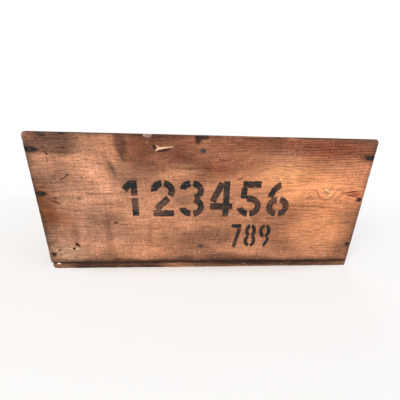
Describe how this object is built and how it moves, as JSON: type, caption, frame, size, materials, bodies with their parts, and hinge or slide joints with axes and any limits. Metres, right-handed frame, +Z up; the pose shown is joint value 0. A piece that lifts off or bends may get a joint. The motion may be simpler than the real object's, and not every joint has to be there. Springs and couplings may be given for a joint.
{
  "type": "nailed wooden packing crate",
  "caption": "Old open-topped softwood packing crate, nailed from single wide boards, with a partition across the middle.",
  "frame": {"origin": "middle of the underside, on the ground", "axes": "+X along the length to the viewer's right, +Y from the front side to the rear, +Z up"},
  "size_m": [0.56, 0.37, 0.228],
  "materials": {
    "side_wood": "weathered, bare",
    "end_wood": "weathered, bare",
    "partition_wood": "sawn, bare",
    "bottom_wood": "sawn, grimy, bare",
    "nail_steel": "rusted"
  },
  "bodies": {
    "root": {"front_side_board": "side_wood", "rear_side_board": "side_wood", "left_end_board": "end_wood", "right_end_board": "end_wood", "centre_partition": "partition_wood", "bottom_front_board": "bottom_wood", "bottom_middle_board": "bottom_wood", "bottom_rear_board": "bottom_wood", "front_left_nails": "nail_steel", "front_right_nails": "nail_steel", "front_partition_nails": "nail_steel", "rear_left_nails": "nail_steel", "rear_right_nails": "nail_steel", "rear_partition_nails": "nail_steel", "bottom_front_end_nails": "nail_steel", "bottom_front_side_nails": "nail_steel", "bottom_front_partition_nail": "nail_steel", "bottom_middle_end_nails": "nail_steel", "bottom_middle_partition_nails": "nail_steel", "bottom_rear_end_nails": "nail_steel", "bottom_rear_side_nails": "nail_steel", "bottom_rear_partition_nail": "nail_steel"}
  },
  "joints": []
}
